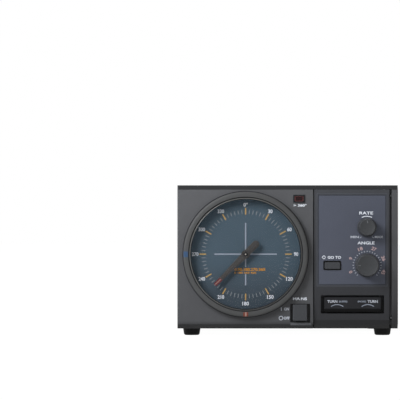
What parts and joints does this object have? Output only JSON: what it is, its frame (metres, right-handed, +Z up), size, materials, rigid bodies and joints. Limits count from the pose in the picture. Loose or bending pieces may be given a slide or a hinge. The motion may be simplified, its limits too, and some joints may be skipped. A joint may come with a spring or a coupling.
{
  "type": "antenna rotator controller",
  "caption": "Desk-top antenna rotator controller: round azimuth meter with turning ring, speed and preset knobs, direction rocker, start and power buttons on a vented metal case.",
  "frame": {"origin": "middle of the bounding box in plan, on the plane under the rubber feet", "axes": "+Z up, -Y towards the operator (the meter and the controls face -Y), +X to the operator's right"},
  "size_m": [0.2, 0.219, 0.1365],
  "materials": {
    "bezel_plastic": "satin moulded grey",
    "plate_paint": "semi-matt blue-grey",
    "case_paint": "fine textured grey",
    "zinc_steel": "zinc plated",
    "rear_paint": "semi-matt grey",
    "foot_rubber": "black",
    "black_plastic": "black",
    "ring_plastic": "satin grey",
    "knob_plastic": "satin dark grey",
    "clear_window": "clear",
    "dial_paint": "matt blue-grey",
    "lamp_red": "translucent red",
    "gear_nylon": "natural",
    "bush_brass": "turned",
    "board_laminate": "green lacquer",
    "sink_aluminium": "natural",
    "core_steel": "varnished laminations",
    "winding_tape": "taped copper windings"
  },
  "bodies": {
    "case": {"board_standoffs": "bush_brass", "bottom_chassis": "zinc_steel", "case_screws": "zinc_steel", "chassis_screws": "zinc_steel", "control_board": "board_laminate", "control_plate": "plate_paint", "dc_socket": "black_plastic", "dial_plate": "dial_paint", "dial_sleeve": "black_plastic", "feedback_pot": "black_plastic", "feet": "foot_rubber", "filter_capacitors": "black_plastic", "foot_screws": "zinc_steel", "front_bezel": "bezel_plastic", "fuse_holder": "black_plastic", "ground_terminal": "bush_brass", "heat_sink": "sink_aluminium", "inlet_pins": "bush_brass", "lamp_frame": "black_plastic", "lamp_lens": "lamp_red", "main_board": "board_laminate", "mains_inlet": "black_plastic", "meter_housing": "black_plastic", "meter_lens": "clear_window", "moulding_screws": "zinc_steel", "movement_plate": "zinc_steel", "panel_surround": "bezel_plastic", "pointer_bushes": "bush_brass", "power_switch": "black_plastic", "power_transistors": "black_plastic", "preset_pot": "black_plastic", "rear_panel": "rear_paint", "relays": "black_plastic", "remote_socket": "black_plastic", "rocker_pin": "zinc_steel", "rocker_switches": "black_plastic", "rotator_socket": "sink_aluminium", "servo_motor": "zinc_steel", "side_rails": "zinc_steel", "speed_pot": "black_plastic", "start_switch": "black_plastic", "top_cover": "case_paint", "transformer_core": "core_steel", "transformer_windings": "winding_tape"},
    "pointer": {"needle": "black_plastic", "needle_screw": "zinc_steel", "pointer_shaft": "zinc_steel", "pointer_gear": "gear_nylon"},
    "motor_pinion": {"motor_pinion": "zinc_steel"},
    "feedback_gear": {"pot_gear": "gear_nylon"},
    "meter_ring": {"meter_ring": "ring_plastic"},
    "power_button": {"power_button": "black_plastic"},
    "start_button": {"start_button": "black_plastic"},
    "direction_rocker": {"direction_rocker": "black_plastic"},
    "speed_knob": {"speed_knob": "knob_plastic", "speed_shaft": "zinc_steel"},
    "preset_knob": {"preset_knob": "knob_plastic", "preset_shaft": "zinc_steel"},
    "fuse_cap": {"fuse_cap": "black_plastic"}
  },
  "joints": [
    {"name": "pointer_turn", "type": "hinge", "parent": "case", "child": "pointer", "pos_m": [-0.0381, -0.09575, 0.074], "axis": [0, 1, 0], "range_deg": [-45, 405]},
    {"name": "motor_pinion_turn", "type": "hinge", "parent": "case", "child": "motor_pinion", "pos_m": [-0.04729, -0.09575, 0.06481], "axis": [0, 1, 0], "range_deg": [-1350.01, 150.01]},
    {"name": "feedback_gear_turn", "type": "hinge", "parent": "case", "child": "feedback_gear", "pos_m": [-0.02042, -0.09575, 0.09168], "axis": [0, 1, 0], "range_deg": [-270.01, 30.01]},
    {"name": "ring_turn", "type": "hinge", "parent": "case", "child": "meter_ring", "pos_m": [-0.0381, -0.09575, 0.074], "axis": [0, 1, 0], "continuous": true},
    {"name": "power_press", "type": "slide", "parent": "case", "child": "power_button", "axis": [0, 1, 0], "range_m": [0, 0.003], "stiffness_N_per_m": 800, "springref_m": -0.002},
    {"name": "start_press", "type": "slide", "parent": "case", "child": "start_button", "axis": [0, 1, 0], "range_m": [0, 0.001], "stiffness_N_per_m": 900, "springref_m": -0.001},
    {"name": "direction_rock", "type": "hinge", "parent": "case", "child": "direction_rocker", "pos_m": [0.05875, -0.08947, 0.02887], "axis": [0, -0.0844, 0.9964], "range_deg": [-4, 4], "stiffness_Nm_per_rad": 0.4},
    {"name": "speed_turn", "type": "hinge", "parent": "case", "child": "speed_knob", "pos_m": [0.0718, -0.09575, 0.0983], "axis": [0, 1, 0], "range_deg": [-150, 150]},
    {"name": "preset_turn", "type": "hinge", "parent": "case", "child": "preset_knob", "pos_m": [0.072, -0.09575, 0.064], "axis": [0, 1, 0], "range_deg": [-60, 240]},
    {"name": "fuse_cap_turn", "type": "hinge", "parent": "case", "child": "fuse_cap", "pos_m": [-0.028, 0.09725, 0.038], "axis": [0, 1, 0], "range_deg": [0, 45]}
  ],
  "couplings": [
    {"joint": "motor_pinion_turn", "follows": "pointer_turn", "ratio": -3.3333},
    {"joint": "feedback_gear_turn", "follows": "pointer_turn", "ratio": -0.66667}
  ]
}
